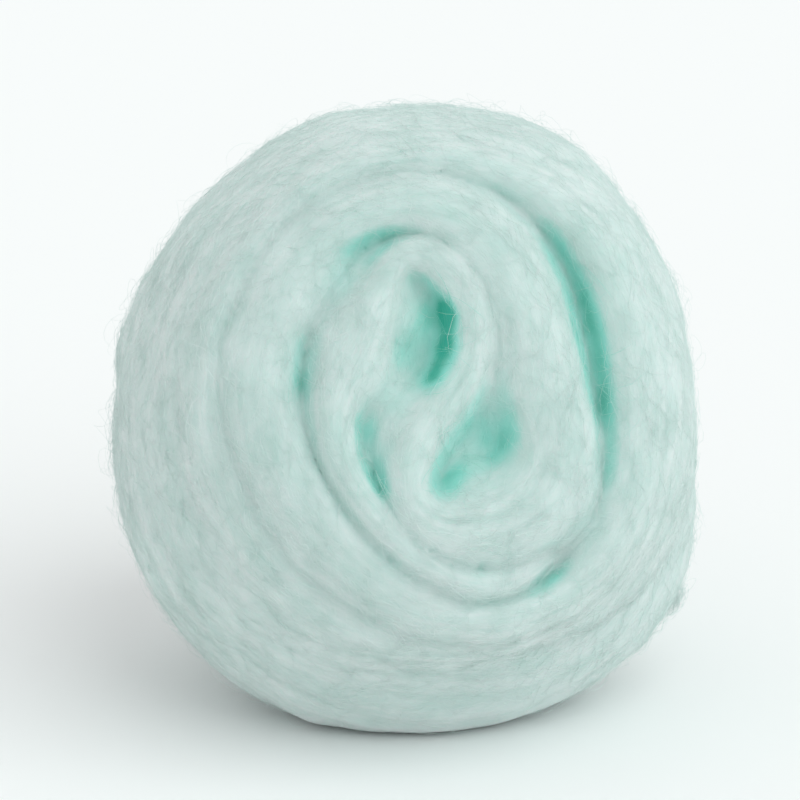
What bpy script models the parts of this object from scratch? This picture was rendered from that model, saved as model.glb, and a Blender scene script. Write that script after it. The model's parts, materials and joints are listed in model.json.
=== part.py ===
"""A cotton ball: one strip of carded cotton wool, rolled up on itself into a soft round ball.

The strip starts in a loose S-shaped fold at the core, then winds outwards for two turns. Its last
stretch thins to a feathered tail that lies on the turn below it. The crease between the turns
runs right through the ball and shows as a spiral on both crowned ends.

The roll is drawn in a plane, seen from the front: a to the right, b up. One pitch, which is the strip's
thickness and the crease beside it, is the unit there, so the fold and the winding grow with the strip.
That is the front end. Towards the far end the core is turned further and further inside the outline, as
in a strip that is rolled by hand, so no opening runs straight through the ball.
"""

import math
from typing import NamedTuple

import bmesh
import bpy
from mathutils import Matrix, Vector

# Driving sizes, in metres and degrees
STRIP_THICKNESS = 0.0042
STRIP_WIDTH = 0.0332
CREASE_WIDTH = 0.00025
END_CROWN = 0.0054
SHOULDER_DRAW_IN = 0.0030
EDGE_BULGE = 0.0005
TAIL_NARROWING = 0.0035
UNDERSIDE_PRESS = 0.0010
PRESS_BLEND = 0.0012
ROLL_LEAN_DEG = 18.0
CORE_TWIST_DEG = -110.0
WINDING_START_DEG = -39.0
WINDING_TURNS = 2.056

# Where the strip's inner face runs, from the winding's start: radii in pitches, one every 30 degrees
CREASE_RADII = (
    0.90, 0.62, 0.71, 1.10, 1.84,
    2.28, 2.02, 1.93, 1.91, 2.05, 2.54, 3.01, 2.56, 2.02, 1.95, 2.45, 3.01,
    3.25, 3.20, 3.08, 2.99, 3.15, 3.48, 3.90, 4.18, 3.66,
)
FIRST_FULL_CREASE = 5

# The ball's outline around the core: radii in pitches, one every 30 degrees from the right
OUTLINE_RADII = (3.60, 3.76, 3.98, 3.79, 3.80, 3.76, 3.88, 4.26, 4.46, 4.60, 4.56, 4.62)
TABLE_STEP_DEG = 30.0
CROWN_POWER = 2.5
DRAW_IN_POWER = 2.2
DRAW_IN_RISE = 3.0
SWELL_POWER = 4.0
EDGE_PINCH = 0.70
ROUNDED_TAIL_DEG = 70.0

# The strip's inner end and S fold, inner end first. Each row holds a, b and half the thickness at the
# ball's ends, then how far the right-hand and the left-hand face swell inside the ball, in pitches
CORE_FOLD = (
    (1.46, -2.05, 0.14, 0.00, 0.00),
    (0.85, -2.52, 0.19, 0.00, 0.00),
    (0.06, -2.45, 0.19, 0.00, 0.00),
    (-0.62, -2.00, 0.19, 0.00, 0.00),
    (-1.14, -1.30, 0.21, 0.06, 0.00),
    (-1.48, -0.61, 0.25, 0.20, 0.00),
    (-1.47, 0.02, 0.40, 0.18, 0.00),
    (-1.15, 0.60, 0.60, 0.28, 0.00),
    (-0.82, 1.27, 0.40, 0.16, 0.00),
    (-0.47, 1.82, 0.24, 0.00, 0.00),
    (0.03, 1.53, 0.29, 0.00, 0.00),
    (0.32, 0.96, 0.33, 0.18, 0.00),
    (0.18, 0.25, 0.35, 0.08, 0.00),
    (-0.27, -0.35, 0.36, 0.02, 0.18),
    (-0.57, -1.01, 0.30, 0.02, 0.18),
    (-0.38, -1.55, 0.29, 0.00, 0.22),
    (0.15, -1.70, 0.50, 0.00, 0.46),
    (0.83, -1.58, 0.55, 0.00, 0.36),
)

# Fineness of the coarse cage that is rolled up
STEPS_PER_FOLD_SPAN = 2
STEPS_PER_TURN = 18
CUTS_ACROSS = (-0.93, -0.72, -0.38, 0.0, 0.38, 0.72, 0.93)
SMOOTHING_LEVELS = 1

PITCH = STRIP_THICKNESS + CREASE_WIDTH
BALL_RADIUS = PITCH * sum(OUTLINE_RADII) / len(OUTLINE_RADII)

COTTON_COLOUR = (0.50, 0.73, 0.67, 1.0)
COTTON_ROUGHNESS = 0.95


class Station(NamedTuple):
    """One cut through the strip: its two faces, how they swell inside the ball and where it is narrower."""

    inner: Vector
    outer: Vector
    inner_swell: Vector = Vector((0, 0))
    outer_swell: Vector = Vector((0, 0))
    narrowing: float = 0.0


def clear_scene():
    """Removes what the start-up file holds."""
    for obj in list(bpy.data.objects):
        bpy.data.objects.remove(obj, do_unlink=True)


def curve_point(before, start, end, after, t):
    """A point between start and end on the Catmull-Rom curve through these four, and its direction."""
    bend = before * 2 - start * 5 + end * 4 - after
    twist = start * 3 - before - end * 3 + after
    place = start + ((end - before) * t + bend * t**2 + twist * t**3) / 2
    return place, (end - before) + bend * 2 * t + twist * 3 * t**2


def crease_radius(angle):
    """Radius of the strip's inner face at this angle, in degrees on from the front's right."""
    steps = (angle - WINDING_START_DEG) / TABLE_STEP_DEG
    last = len(CREASE_RADII) - 1
    index = max(0, min(int(steps), last - 1))
    near = [CREASE_RADII[max(0, min(index + k, last))] for k in (-1, 0, 1, 2)]
    return PITCH * curve_point(*near, steps - index)[0]


def outline_radius(angle):
    """Radius of the ball's outline in this direction, in degrees."""
    steps = angle / TABLE_STEP_DEG % len(OUTLINE_RADII)
    index = int(steps)
    near = [OUTLINE_RADII[(index + k) % len(OUTLINE_RADII)] for k in (-1, 0, 1, 2)]
    return PITCH * curve_point(*near, steps - index)[0]


def winding_stations():
    """The strip's stations from the core to the end of its tail."""
    steps = round(WINDING_TURNS * STEPS_PER_TURN)
    first_crease = WINDING_START_DEG + FIRST_FULL_CREASE * TABLE_STEP_DEG
    last_crease = WINDING_START_DEG + 360 * steps / STEPS_PER_TURN
    stations = []
    for step in range(steps + 1):
        angle = WINDING_START_DEG + 360 * step / STEPS_PER_TURN
        direction = Vector((math.cos(math.radians(angle)), math.sin(math.radians(angle))))
        inner = crease_radius(angle) + CREASE_WIDTH / 2
        outer = outline_radius(angle)
        if first_crease <= angle + 360 <= last_crease:
            outer = min(outer, crease_radius(angle + 360) - CREASE_WIDTH / 2)
        into_tail = max(0, 1 - (last_crease - angle) / ROUNDED_TAIL_DEG)
        narrowing = TAIL_NARROWING * into_tail**3
        stations.append(Station(direction * inner, direction * outer, narrowing=narrowing))
    return stations


def fold_stations():
    """The strip's stations from its inner end to where the winding starts."""
    points = [Vector(point) * PITCH for point in CORE_FOLD]
    for station in winding_stations()[:2]:
        middle = (station.inner + station.outer) / 2
        half = (station.outer - station.inner).length / 2
        points.append(Vector((middle.x, middle.y, half, 0, 0)))
    points.insert(0, points[0] * 2 - points[1])
    stations = []
    for near in zip(points, points[1:], points[2:], points[3:]):
        for step in range(STEPS_PER_FOLD_SPAN):
            place, slope = curve_point(*near, step / STEPS_PER_FOLD_SPAN)
            middle = Vector(place[:2])
            outwards = Vector((slope[1], -slope[0])).normalized()
            reach = outwards * (place[2] - CREASE_WIDTH / 2)
            swells = -outwards * place[4], outwards * place[3]
            stations.append(Station(middle - reach, middle + reach, *swells))
    return stations


def flat_strip(length_cuts):
    """A slab cut into a grid. Its corners' x counts the cuts, and its y and z run from -1 to 1."""
    strip = bmesh.new()
    bmesh.ops.create_cube(strip, size=2)
    bmesh.ops.translate(strip, verts=strip.verts, vec=(1, 0, 0))
    bmesh.ops.scale(strip, verts=strip.verts, vec=(length_cuts / 2, 1, 1))
    planes = [((cut, 0, 0), (1, 0, 0)) for cut in range(1, length_cuts)]
    planes += [((0, cut, 0), (0, 1, 0)) for cut in CUTS_ACROSS]
    planes.append(((0, 0, 0), (0, 0, 1)))
    for place, normal in planes:
        geometry = [*strip.verts, *strip.edges, *strip.faces]
        bmesh.ops.bisect_plane(strip, geom=geometry, plane_co=place, plane_no=normal)
    return strip


def rolled_place(station, across, through):
    """Where a corner of the flat strip lies on the roll, whose axis runs along Y."""
    swell = 1 - abs(across) ** SWELL_POWER
    inner = station.inner + station.inner_swell * swell
    outer = station.outer + station.outer_swell * swell
    middle = (inner + outer) / 2
    on_edge = abs(across) > 1 - 1e-6
    half = (outer - inner) / 2 * (EDGE_PINCH if on_edge else 1)
    place = middle + half * through
    share = place.length / BALL_RADIUS
    half_width = STRIP_WIDTH / 2 - EDGE_BULGE - END_CROWN * share**CROWN_POWER
    half_width -= station.narrowing
    if on_edge and abs(through) < 0.5:
        half_width += EDGE_BULGE
    place *= 1 - SHOULDER_DRAW_IN / BALL_RADIUS * abs(across) ** DRAW_IN_POWER * share**DRAW_IN_RISE
    turned = math.radians(CORE_TWIST_DEG) * (1 - across) / 2 * max(0, 1 - share)
    place.rotate(Matrix.Rotation(turned, 2))
    return Vector((place.x, -across * half_width, place.y))


def rolled_strip():
    """The mesh of the strip wound up on its stations."""
    stations = fold_stations() + winding_stations()
    strip = flat_strip(len(stations) - 1)
    for corner in strip.verts:
        station = stations[round(corner.co.x)]
        corner.co = rolled_place(station, corner.co.y, corner.co.z)
    mesh = bpy.data.meshes.new("cotton_ball")
    strip.to_mesh(mesh)
    strip.free()
    return mesh


def smoothed(mesh):
    """The mesh after subdivision, which rounds the strip's edges."""
    holder = bpy.data.objects.new("smoothing", mesh)
    bpy.context.scene.collection.objects.link(holder)
    modifier = holder.modifiers.new("soft edges", "SUBSURF")
    modifier.levels = SMOOTHING_LEVELS
    modifier.render_levels = SMOOTHING_LEVELS
    graph = bpy.context.evaluated_depsgraph_get()
    smooth = bpy.data.meshes.new_from_object(holder.evaluated_get(graph))
    bpy.data.objects.remove(holder, do_unlink=True)
    bpy.data.meshes.remove(mesh)
    return smooth


def pressed(height):
    """Height of a point once the underside lies flat: the floor is level, with a soft start to the curve."""
    if height <= 0:
        return 0.0
    if height < PRESS_BLEND:
        return height**2 / (2 * PRESS_BLEND)
    return height - PRESS_BLEND / 2


def settle(mesh):
    """Leans the roll back, flattens its underside and puts the middle of its footprint at the origin."""
    mesh.transform(Matrix.Rotation(math.radians(-ROLL_LEAN_DEG), 4, "X"))
    across = [corner.co.x for corner in mesh.vertices]
    deep = [corner.co.y for corner in mesh.vertices]
    floor = min(corner.co.z for corner in mesh.vertices) + UNDERSIDE_PRESS
    middle_x = (min(across) + max(across)) / 2
    middle_y = (min(deep) + max(deep)) / 2
    for corner in mesh.vertices:
        height = pressed(corner.co.z - floor)
        corner.co = (corner.co.x - middle_x, corner.co.y - middle_y, height)


def cotton():
    """Pale mint cotton wool, which has no shine."""
    material = bpy.data.materials.new("mint cotton wool")
    material.use_nodes = True
    shader = material.node_tree.nodes["Principled BSDF"]
    shader.inputs["Base Color"].default_value = COTTON_COLOUR
    shader.inputs["Roughness"].default_value = COTTON_ROUGHNESS
    shader.inputs["Metallic"].default_value = 0.0
    return material


def main():
    clear_scene()
    mesh = smoothed(rolled_strip())
    settle(mesh)
    mesh.name = "cotton_ball"
    mesh.shade_smooth()
    mesh.materials.append(cotton())
    ball = bpy.data.objects.new("cotton_ball", mesh)
    collection = bpy.data.collections.new("Cotton ball")
    bpy.context.scene.collection.children.link(collection)
    collection.objects.link(ball)


main()
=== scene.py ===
"""The looks of a cotton ball: a strip of carded cotton wool, rolled up on itself.

The strip is rolled up by the same rules as the CAD part, and a soft skin is drawn over it that closes
each crease a little way down. Lumps and streaks are raised on the skin, and cotton fibres are laid along
its grain or stand off it as fuzz.
"""

import json
import logging
import math
from dataclasses import dataclass, field
from enum import Enum

import bmesh
import bpy
import numpy as np
from mathutils import Matrix, Vector, noise
from mathutils.bvhtree import BVHTree
from mathutils.interpolate import poly_3d_calc

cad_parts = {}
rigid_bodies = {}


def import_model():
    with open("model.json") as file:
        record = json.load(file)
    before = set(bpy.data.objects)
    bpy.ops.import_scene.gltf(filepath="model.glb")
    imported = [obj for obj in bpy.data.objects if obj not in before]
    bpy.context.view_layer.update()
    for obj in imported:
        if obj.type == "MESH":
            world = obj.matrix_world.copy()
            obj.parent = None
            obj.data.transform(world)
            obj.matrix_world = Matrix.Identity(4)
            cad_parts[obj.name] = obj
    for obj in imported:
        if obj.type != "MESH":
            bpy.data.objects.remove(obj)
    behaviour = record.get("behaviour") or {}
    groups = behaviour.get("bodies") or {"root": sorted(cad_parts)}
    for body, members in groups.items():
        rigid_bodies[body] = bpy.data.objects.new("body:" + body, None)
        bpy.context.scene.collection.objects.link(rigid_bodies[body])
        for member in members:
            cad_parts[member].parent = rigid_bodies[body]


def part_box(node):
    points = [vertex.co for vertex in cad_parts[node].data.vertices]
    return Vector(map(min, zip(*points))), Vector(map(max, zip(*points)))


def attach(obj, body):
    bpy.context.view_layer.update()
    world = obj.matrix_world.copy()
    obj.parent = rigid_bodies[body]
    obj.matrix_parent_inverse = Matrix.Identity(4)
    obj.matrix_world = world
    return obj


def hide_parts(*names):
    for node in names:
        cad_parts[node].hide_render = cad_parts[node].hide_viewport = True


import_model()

Socket = bpy.types.NodeSocket
Tree = bpy.types.NodeTree
Amount = float | Vector

LOG = logging.getLogger("cotton_ball")
MM = 0.001
CAD_NODE = "cotton_ball"
BODY = "root"
# The strip's tail, as a direction from the ball's middle
TAIL_TIP = Vector((0.86, -0.28, -0.42))
TUFT_REACH = 1.0 * MM
NOISE_ROUGHNESS = 0.6


class Layer(Enum):
    """Names of what the wool's mesh carries at each corner."""

    STRIP_PLACE = "strip_place"
    GRAIN = "grain"
    MARK = "mark"
    # How deep in a crease a corner is, which sets its painted shade
    CREASE = "crease"


class Draw(Enum):
    """What is drawn at random for each fibre, and what that draw adds to the seed."""

    SIZE = 3
    ASIDE = 5
    LIFT = 7
    FLIP = 9


# Form of the roll
@dataclass(frozen=True)
class RollForm:
    """The roll's sizes and curves.

    The radii, the core's fold, the humps and the spots are in pitches. A pitch is the strip's thickness
    and the crease beside it. They were chosen.
    """

    # The strip, the crease beside it and how much of that loose wool closes
    strip_thickness: float = 4.2 * MM
    strip_width: float = 33.2 * MM
    crease_width: float = 0.25 * MM
    crease_fill: float = 0.56 * MM
    # The ball's ends: their crown, how far the shoulders are drawn in, and the far end's turned core
    end_crown: float = 5.4 * MM
    crown_power: float = 2.5
    shoulder_draw_in: float = 3.0 * MM
    draw_in_power: float = 2.2
    draw_in_rise: float = 3.0
    core_twist_deg: float = -110.0
    # The strip's edges: rounded, and lower and pinched beside a crease as far as it is marked
    edge_bulge: float = 0.5 * MM
    rim_drop: float = 1.2 * MM
    drop_power: float = 2.6
    rim_pinch: float = 0.32
    pinch_starts: float = 0.80
    shoulder_mark: float = 0.85
    mark_power: int = 12
    # The strip's two ends, narrowed so that their edges sink into the roll
    tail_narrowing: float = 3.5 * MM
    end_narrowing: float = 2.0 * MM
    sunk_end_spans: int = 2
    # The fold's swell inside the ball, which ends a little before the ball does
    swell_power: float = 16.0
    swell_share: float = 1.25
    # How the ball leans back and lies on its flat spot
    lean_deg: float = 18.0
    underside_press: float = 1.0 * MM
    press_blend: float = 1.2 * MM
    # The winding and its tail
    winding_start_deg: float = -39.0
    winding_turns: float = 2.056
    table_step_deg: float = 30.0
    first_full_crease: int = 5
    rounded_tail_deg: float = 70.0
    thinned_tail_deg: float = 40.0
    tail_thinning: float = 0.7
    # The loose wool in the core's folds
    filling_depth: float = 2.2 * MM
    filling_rings: int = 14
    filling_sides: int = 72
    filling_cuts: tuple[float, ...] = (-0.5, 0.0, 0.5)
    # How finely the strip is cut along itself, across and through
    steps_per_fold_span: int = 2
    steps_per_turn: int = 18
    cuts_across: tuple[float, ...] = (-1.0, -0.95, -0.86, -0.68, -0.38, 0.0, 0.38, 0.68, 0.86, 0.95, 1.0)
    cuts_through: tuple[float, ...] = (-1.0, -0.72, 0.0, 0.72, 1.0)
    # Radius of the strip's inner face at each step of the winding, from the core outwards
    crease_radii: tuple[float, ...] = (
        0.90, 0.62, 0.71, 1.10, 1.84,
        2.28, 2.02, 1.93, 1.91, 2.05, 2.54, 3.01, 2.56, 2.02, 1.95, 2.45, 3.01,
        3.25, 3.20, 3.08, 2.99, 3.15, 3.48, 3.90, 4.18, 3.66,
    )
    # How deep the crease is at the same steps, from 0 to 1, which also sets the painted shade in it
    crease_marks: tuple[float, ...] = (
        0.70, 0.45, 0.30, 0.12, 0.12,
        0.85, 0.45, 0.50, 0.35, 0.30, 0.30, 0.70, 0.45, 0.70, 0.95, 0.75, 0.45,
        0.22, 0.08, 0.10, 0.12, 0.16, 0.20, 0.12, 0.10, 0.35,
    )
    # Radius of the outline at each step round the ball, from the front's right
    outline_radii: tuple[float, ...] = (
        3.60, 3.76, 3.98, 3.79, 3.80, 3.76, 3.88, 4.26, 4.46, 4.60, 4.56, 4.62,
    )
    # The fold from the strip's inner end: place, half thickness, both faces' swell inside the ball and marks
    core_fold: tuple[tuple[float, ...], ...] = (
        (1.46, -2.05, 0.14, 0.00, 0.00, 0.50, 0.90),
        (0.85, -2.52, 0.19, 0.00, 0.00, 0.40, 0.60),
        (0.06, -2.45, 0.19, 0.00, 0.00, 0.35, 0.45),
        (-0.62, -2.00, 0.19, 0.00, 0.00, 0.45, 0.45),
        (-1.14, -1.30, 0.21, 0.06, 0.00, 0.60, 0.50),
        (-1.48, -0.61, 0.25, 0.20, 0.00, 0.60, 0.55),
        (-1.47, 0.02, 0.40, 0.18, 0.00, 0.45, 0.60),
        (-1.15, 0.60, 0.60, 0.28, 0.00, 0.60, 0.50),
        (-0.82, 1.27, 0.40, 0.16, 0.00, 0.90, 0.60),
        (-0.47, 1.82, 0.24, 0.00, 0.00, 0.80, 0.50),
        (0.03, 1.53, 0.29, 0.00, 0.00, 0.90, 0.12),
        (0.32, 0.96, 0.33, 0.18, 0.00, 0.90, 0.12),
        (0.18, 0.25, 0.35, 0.08, 0.00, 0.90, 0.30),
        (-0.27, -0.35, 0.36, 0.02, 0.18, 0.60, 0.60),
        (-0.57, -1.01, 0.30, 0.02, 0.18, 0.30, 0.60),
        (-0.38, -1.55, 0.29, 0.00, 0.22, 0.35, 0.60),
        (0.15, -1.70, 0.50, 0.00, 0.46, 0.30, 0.50),
        (0.83, -1.58, 0.55, 0.00, 0.36, 0.30, 0.50),
    )
    # Where loose wool lies higher in the folds: place, size and share of the filling's depth
    filling_humps: tuple[tuple[float, ...], ...] = (
        (-0.70, -0.08, 0.44, 0.80),
        (-0.84, -0.70, 0.34, 0.55),
        (-0.50, 0.95, 0.32, 0.85),
        (-0.36, 1.55, 0.24, 0.55),
        (-1.35, 1.60, 0.45, 0.80),
        (-0.70, 2.20, 0.26, 0.60),
        (-1.66, 0.95, 0.40, 0.60),
        (0.80, 0.10, 0.40, 0.80),
        (0.86, -0.40, 0.24, 0.40),
        (0.40, 1.75, 0.50, 0.60),
        (0.70, -2.05, 0.50, 0.80),
        (0.46, -2.00, 0.26, 0.40),
        (1.75, -1.75, 0.50, 0.75),
    )
    # Painted shade where the front end's tone is deeper over a hollow: place, size and amount
    painted_shade_spots: tuple[tuple[float, ...], ...] = (
        (0.05, 1.00, 0.20, 0.85),
        (0.06, 0.55, 0.20, 0.85),
        (-0.08, 0.18, 0.22, 0.80),
        (0.52, -0.60, 0.32, 0.30),
        (0.08, -1.00, 0.20, 0.10),
        (-1.04, -0.40, 0.16, 0.30),
        (-0.78, -1.25, 0.24, 0.30),
        (-1.78, 0.30, 0.34, 0.08),
        (-1.62, -0.65, 0.36, 0.24),
        (-1.25, -1.40, 0.36, 0.28),
        (-0.68, -2.02, 0.36, 0.28),
        (0.35, -2.35, 0.44, 0.25),
        (1.98, -0.90, 0.40, 0.28),
    )

    @property
    def pitch(self) -> float:
        """The strip's thickness and the crease beside it."""
        return self.strip_thickness + self.crease_width

    @property
    def gap(self) -> float:
        """What is left open between two turns; below zero they grow into each other."""
        return self.crease_width - self.crease_fill

    @property
    def ball_radius(self) -> float:
        """The outline's mean radius."""
        return self.pitch * sum(self.outline_radii) / len(self.outline_radii)


def heading(angle: float) -> Vector:
    """The flat direction at this angle, in degrees."""
    return Vector((math.cos(math.radians(angle)), math.sin(math.radians(angle))))


def curve_point(
    before: Amount, start: Amount, end: Amount, after: Amount, t: float
) -> tuple[Amount, Amount]:
    """A point between start and end on the Catmull-Rom curve through four points.

    Args:
        before: The point before the start, a number or a vector, as the others are.
        start: Where the stretch starts.
        end: Where it ends.
        after: The point after the end.
        t: How far the point is from start to end, from 0 to 1.

    Returns:
        The point and the curve's direction there.
    """
    bend = before * 2 - start * 5 + end * 4 - after
    twist = start * 3 - before - end * 3 + after
    place = start + ((end - before) * t + bend * t**2 + twist * t**3) / 2
    return place, (end - before) + bend * 2 * t + twist * 3 * t**2


@dataclass(frozen=True)
class Station:
    """One cut through the strip: its faces, their swell inside the ball and the depth of their creases."""

    inner: Vector
    outer: Vector
    inner_swell: Vector = field(default_factory=lambda: Vector((0, 0)))
    outer_swell: Vector = field(default_factory=lambda: Vector((0, 0)))
    inner_mark: float = 0.0
    outer_mark: float = 0.0
    is_outside: bool = False
    narrowing: float = 0.0


class RolledStrip:
    """The strip rolled up: a coarse cage of corners that subdivision rounds."""

    def __init__(self, form: RollForm) -> None:
        """Rolls the strip up.

        Args:
            form: The roll's sizes and curves.
        """
        self.form = form
        winding = self._winding_stations()
        self.stations = self._fold_stations(winding[:2]) + winding

    def _along_winding(self, table: tuple[float, ...], angle: float) -> float:
        """A table's value at one place of the winding.

        Args:
            table: The values at each step of the winding.
            angle: The place, in degrees on from the front's right.

        Returns:
            The value there.
        """
        steps = (angle - self.form.winding_start_deg) / self.form.table_step_deg
        last = len(table) - 1
        index = max(0, min(int(steps), last - 1))
        near = [table[max(0, min(index + k, last))] for k in (-1, 0, 1, 2)]
        return curve_point(*near, steps - index)[0]

    def _crease_radius(self, angle: float) -> float:
        """Radius of the strip's inner face at this angle of the winding."""
        return self.form.pitch * self._along_winding(self.form.crease_radii, angle)

    def _crease_mark(self, angle: float) -> float:
        """How deep and dark the crease is at this angle of the winding, from 0 to 1."""
        return max(0.0, min(self._along_winding(self.form.crease_marks, angle), 1.0))

    def _outline_radius(self, angle: float) -> float:
        """Radius of the ball's outline.

        Args:
            angle: The direction, in degrees on from the front's right.

        Returns:
            The radius there.
        """
        table = self.form.outline_radii
        steps = angle / self.form.table_step_deg % len(table)
        index = int(steps)
        near = [table[(index + k) % len(table)] for k in (-1, 0, 1, 2)]
        return self.form.pitch * curve_point(*near, steps - index)[0]

    def _winding_stations(self) -> list[Station]:
        """The strip's stations from the core to the end of its tail.

        Returns:
            The stations, a step of the winding apart.
        """
        form = self.form
        steps = round(form.winding_turns * form.steps_per_turn)
        first_crease = form.winding_start_deg + form.first_full_crease * form.table_step_deg
        last_crease = form.winding_start_deg + 360 * steps / form.steps_per_turn
        stations = []
        for step in range(steps + 1):
            angle = form.winding_start_deg + 360 * step / form.steps_per_turn
            direction = heading(angle)
            inner = self._crease_radius(angle) + form.gap / 2
            outer = self._outline_radius(angle)
            covered = first_crease <= angle + 360 <= last_crease
            if covered:
                outer = min(outer, self._crease_radius(angle + 360) - form.gap / 2)
            into_tail = max(0, 1 - (last_crease - angle) / form.rounded_tail_deg)
            into_end = max(0, 1 - (last_crease - angle) / form.thinned_tail_deg)
            outer -= (outer - inner) * form.tail_thinning * into_end**2
            stations.append(
                Station(
                    direction * inner,
                    direction * outer,
                    inner_mark=self._crease_mark(angle),
                    outer_mark=self._crease_mark(angle + 360) if covered else form.shoulder_mark,
                    is_outside=not covered,
                    narrowing=form.tail_narrowing * into_tail**3,
                )
            )
        return stations

    def _fold_stations(self, following: list[Station]) -> list[Station]:
        """The strip's stations from its inner end to where the winding starts.

        Args:
            following: The winding's first two stations, which the fold's curve leads into.

        Returns:
            The stations, in order.
        """
        form = self.form
        points = [Vector((*(form.pitch * size for size in row[:5]), *row[5:])) for row in form.core_fold]
        for station in following:
            middle = (station.inner + station.outer) / 2
            half = (station.outer - station.inner).length / 2
            points.append(Vector((middle.x, middle.y, half, 0, 0, station.outer_mark, station.inner_mark)))
        points.insert(0, points[0] * 2 - points[1])
        stations = []
        for near in zip(points, points[1:], points[2:], points[3:]):
            for step in range(form.steps_per_fold_span):
                place, slope = curve_point(*near, step / form.steps_per_fold_span)
                middle = Vector(place[:2])
                outwards = Vector((slope[1], -slope[0])).normalized()
                reach = outwards * (place[2] - form.gap / 2)
                swells = -outwards * place[4], outwards * place[3]
                marks = [max(0.0, min(mark, 1.0)) for mark in (place[6], place[5])]
                into_end = max(0, 1 - len(stations) / (form.sunk_end_spans * form.steps_per_fold_span))
                sunk = form.end_narrowing * into_end**2
                stations.append(Station(middle - reach, middle + reach, *swells, *marks, narrowing=sunk))
        return stations

    def corner(self, station: Station, across: float, through: float) -> Vector:
        """Where a corner of the flat strip lies on the roll, whose axis runs along Y.

        Args:
            station: The cut through the strip.
            across: Place across the strip, from -1 at the far end to 1 at the front.
            through: Place through its thickness, from -1 on the inner face to 1 on the outer one.

        Returns:
            The corner's place before the roll is leaned back.
        """
        form = self.form
        swell = form.swell_share * (1 - abs(across) ** form.swell_power)
        inner = station.inner + station.inner_swell * swell
        outer = station.outer + station.outer_swell * swell
        mark = station.inner_mark if through < 0 else station.outer_mark
        to_rim = max(0.0, (abs(across) - form.pinch_starts) / (1 - form.pinch_starts))
        pinched = 1 - form.rim_pinch * mark * to_rim**2
        place = (inner + outer) / 2 + (outer - inner) / 2 * pinched * through
        lower = station.narrowing - form.edge_bulge * (1 - abs(through) ** 2)
        if not station.is_outside or through < 0:
            lower += form.rim_drop * mark * abs(through) ** form.drop_power
        return self._rolled(place, across, lower)

    def _rolled(self, place: Vector, across: float, lower: float) -> Vector:
        """Gives a point of the spiral its place in the roll, with crowned ends and a turned core.

        Args:
            place: Where it is in the spiral's plane.
            across: Its place across the strip.
            lower: How far the strip's edge lies below the crown here.

        Returns:
            The point's place before the roll is leaned back.
        """
        form = self.form
        share = place.length / form.ball_radius
        crown = form.end_crown * share**form.crown_power
        half_width = form.strip_width / 2 - form.edge_bulge - crown - lower
        drawn_in = form.shoulder_draw_in / form.ball_radius * abs(across) ** form.draw_in_power
        place = place * (1 - drawn_in * share**form.draw_in_rise)
        turned = math.radians(form.core_twist_deg) * (1 - across) / 2 * max(0, 1 - share)
        place.rotate(Matrix.Rotation(turned, 2))
        return Vector((place.x, -across * half_width, place.y))

    def _filling_depth(self, place: Vector) -> float:
        """How far below the crown the loose wool in the core's folds lies.

        Args:
            place: Where it is in the spiral's plane.

        Returns:
            The depth.
        """
        form = self.form
        depth = form.filling_depth
        for a, b, size, height in form.filling_humps:
            apart = (place - Vector((a, b)) * form.pitch).length / (size * form.pitch)
            depth -= form.filling_depth * height * math.exp(-(apart**2))
        return depth

    def filling(self, name: str) -> bpy.types.Mesh:
        """The loose wool in the core's folds, inside the first full turn and a little below both ends.

        Args:
            name: The mesh's name.

        Returns:
            The new closed mesh.
        """
        form = self.form
        first = form.winding_start_deg + form.first_full_crease * form.table_step_deg
        rise = [(ring + 1) / form.filling_rings for ring in range(form.filling_rings)]
        profile = [(reach, -1.0) for reach in rise] + [(1.0, across) for across in form.filling_cuts]
        profile += [(reach, 1.0) for reach in reversed(rise)]
        sides = form.filling_sides
        corners = []
        for reach, across in profile:
            for side in range(sides):
                angle = first + 360 * side / sides
                place = heading(angle) * self._crease_radius(angle) * reach
                corners.append(self._rolled(place, across, self._filling_depth(place)))
        faces = []
        for ring in range(len(profile) - 1):
            for side in range(sides):
                other = (side + 1) % sides
                low, high = ring * sides, (ring + 1) * sides
                faces.append((low + side, low + other, high + other, high + side))
        for across, ring in ((-1.0, 0), (1.0, len(profile) - 1)):
            corners.append(self._rolled(Vector((0, 0)), across, self._filling_depth(Vector((0, 0)))))
            for side in range(sides):
                faces.append((len(corners) - 1, ring * sides + side, ring * sides + (side + 1) % sides))
        mesh = bpy.data.meshes.new(name)
        mesh.from_pydata(corners, [], faces)
        return mesh

    def mesh(self, name: str) -> bpy.types.Mesh:
        """The cage as a closed mesh that carries its place on the strip, its grain and its marks.

        Args:
            name: The mesh's name.

        Returns:
            The new mesh.
        """
        cuts, throughs = self.form.cuts_across, self.form.cuts_through
        size = (len(self.stations), len(cuts), len(throughs))
        grid = np.empty((*size, 3))
        marks = np.empty(size)
        for i, station in enumerate(self.stations):
            for j, across in enumerate(cuts):
                for k, through in enumerate(throughs):
                    grid[i, j, k] = self.corner(station, across, through)
                    mark = station.inner_mark if through < 0 else station.outer_mark
                    is_bare = abs(through) < 1 or (station.is_outside and through > 0)
                    marks[i, j, k] = 0.0 if is_bare else mark * abs(across) ** self.form.mark_power
        along = np.gradient(grid, axis=0)
        grain = along / np.linalg.norm(along, axis=-1, keepdims=True)
        middle = grid[:, len(cuts) // 2, len(throughs) // 2]
        run = np.concatenate(([0.0], np.cumsum(np.linalg.norm(np.diff(middle, axis=0), axis=1))))
        number, quads = self._skin(size)
        order = sorted(number, key=number.get)
        mesh = bpy.data.meshes.new(name)
        mesh.from_pydata([grid[key] for key in order], [], quads)
        half = self.form.strip_thickness / 2
        strip = [(run[i], grid[i, j, k][1], throughs[k] * half) for i, j, k in order]
        store(mesh, Layer.STRIP_PLACE, np.array(strip))
        store(mesh, Layer.GRAIN, np.array([grain[key] for key in order]))
        store(mesh, Layer.MARK, np.array([marks[key] for key in order]))
        return mesh

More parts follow.
